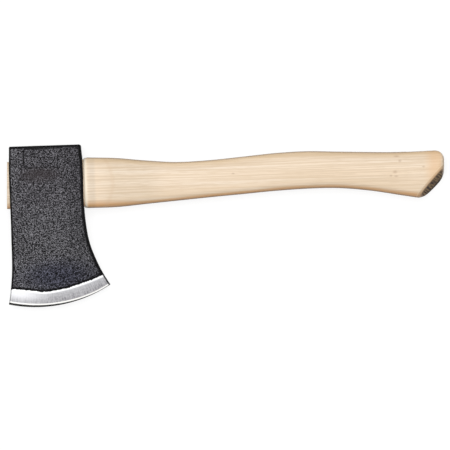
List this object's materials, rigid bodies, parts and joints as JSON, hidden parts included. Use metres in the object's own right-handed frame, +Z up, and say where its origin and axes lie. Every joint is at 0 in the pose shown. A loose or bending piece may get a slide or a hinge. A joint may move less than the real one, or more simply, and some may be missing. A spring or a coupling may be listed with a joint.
{
  "type": "hatchet",
  "caption": "Hatchet with a black-coated forged head, a curved ground edge and a curved varnished wooden handle wedged in the eye.",
  "frame": {"origin": "middle of the underside of the bounding box, on the surface that the hatchet lies on", "axes": "+X along the handle from the head to the butt, +Y from the cutting edge to the poll, +Z up across the thickness of the head"},
  "size_m": [0.3572, 0.131, 0.0232],
  "materials": {
    "coated_steel": "rough charcoal-black coating over forged steel, with the bevels ground bright along the edge",
    "handle_wood": "pale straight-grained ash or hickory under clear satin varnish, bare end grain at both ends",
    "wedge_wood": "bare sawn hardwood",
    "wedge_steel": "plain mild steel"
  },
  "bodies": {
    "root": {"head": "coated_steel", "handle": "handle_wood", "wooden_wedge": "wedge_wood", "steel_wedge_upper": "wedge_steel", "steel_wedge_lower": "wedge_steel"}
  },
  "joints": []
}
